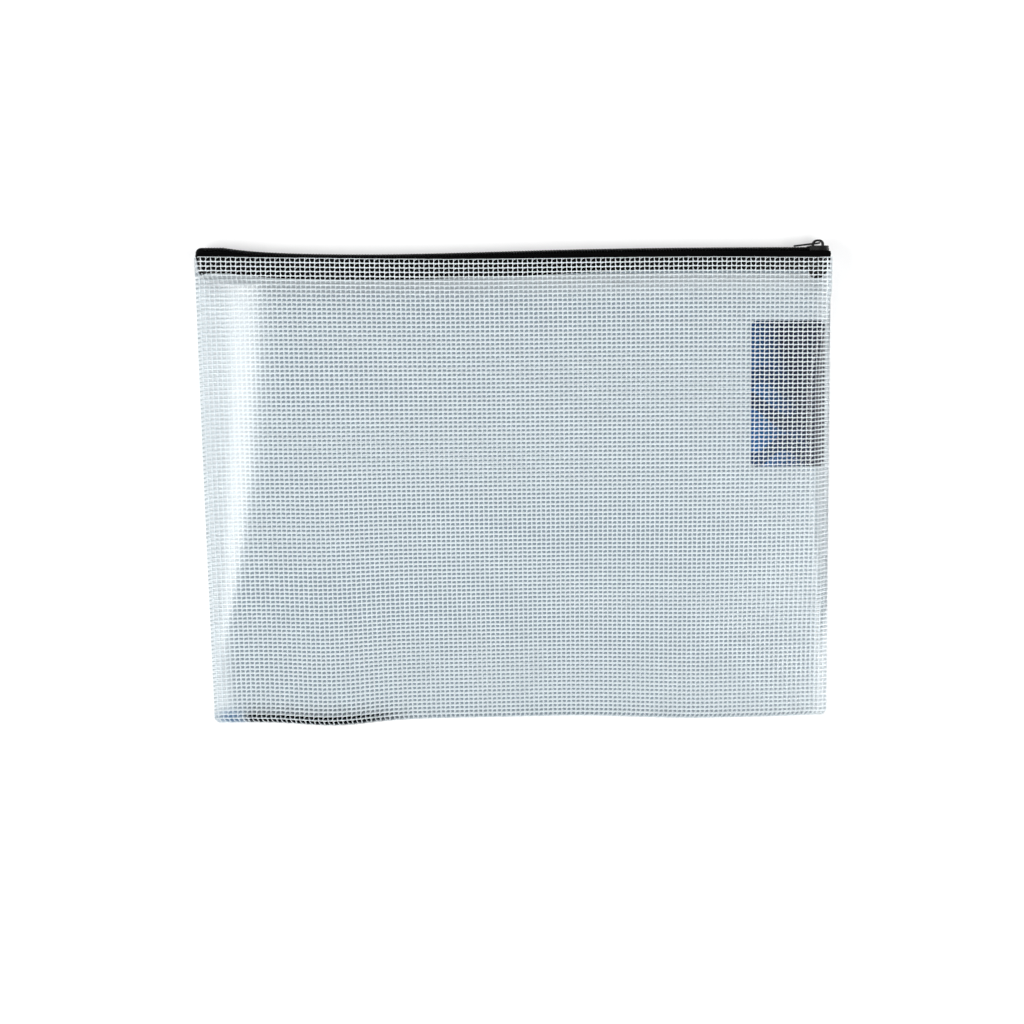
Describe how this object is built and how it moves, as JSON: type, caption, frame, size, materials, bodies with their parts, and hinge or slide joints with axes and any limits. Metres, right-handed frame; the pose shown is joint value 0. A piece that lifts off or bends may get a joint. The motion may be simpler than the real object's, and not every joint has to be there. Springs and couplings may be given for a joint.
{
  "type": "document wallet",
  "caption": "Flat translucent mesh document wallet with welded edges and a black coil zip along its top, with a sliding zip slider and a swinging pull.",
  "frame": {"origin": "middle of the back sheet's underside", "axes": "+X along the zip towards its closed end, +Y from the bottom weld to the zip, +Z out of the front sheet"},
  "size_m": [0.34, 0.2609, 0.0115],
  "materials": {
    "mesh_sheet": "clear pale blue film laminated over a white yarn grid",
    "zip_tape": "black woven polyester tape",
    "zip_coil": "black nylon monofilament, satin",
    "core_cord": "black twisted filler cord",
    "slider_paint": "black enamel on die-cast zinc",
    "insert_card": "blue printed card, coated"
  },
  "bodies": {
    "wallet": {"back_sheet": "mesh_sheet", "front_sheet": "mesh_sheet", "front_zip_tape": "zip_tape", "back_zip_tape": "zip_tape", "front_tape_edge": "zip_tape", "back_tape_edge": "zip_tape", "left_end_tab": "zip_tape", "right_end_tab": "zip_tape", "tape_tail": "zip_tape", "front_coil": "zip_coil", "back_coil": "zip_coil", "open_end_stop": "zip_coil", "front_core_cord": "core_cord", "back_core_cord": "core_cord", "closed_end_stops": "slider_paint", "insert_card": "insert_card"},
    "slider": {"slider_body": "slider_paint", "slider_bridge": "slider_paint"},
    "pull": {"pull_tab": "slider_paint"}
  },
  "joints": [
    {"name": "slider_slide", "type": "slide", "parent": "wallet", "child": "slider", "axis": [-1, 0, 0], "range_m": [0, 0.3194], "deforming": ["front_coil", "back_coil"]},
    {"name": "pull_swing", "type": "hinge", "parent": "slider", "child": "pull", "pos_m": [0.1611, 0.13298, 0.00575], "axis": [0, 0, -1], "range_deg": [0, 192]}
  ]
}
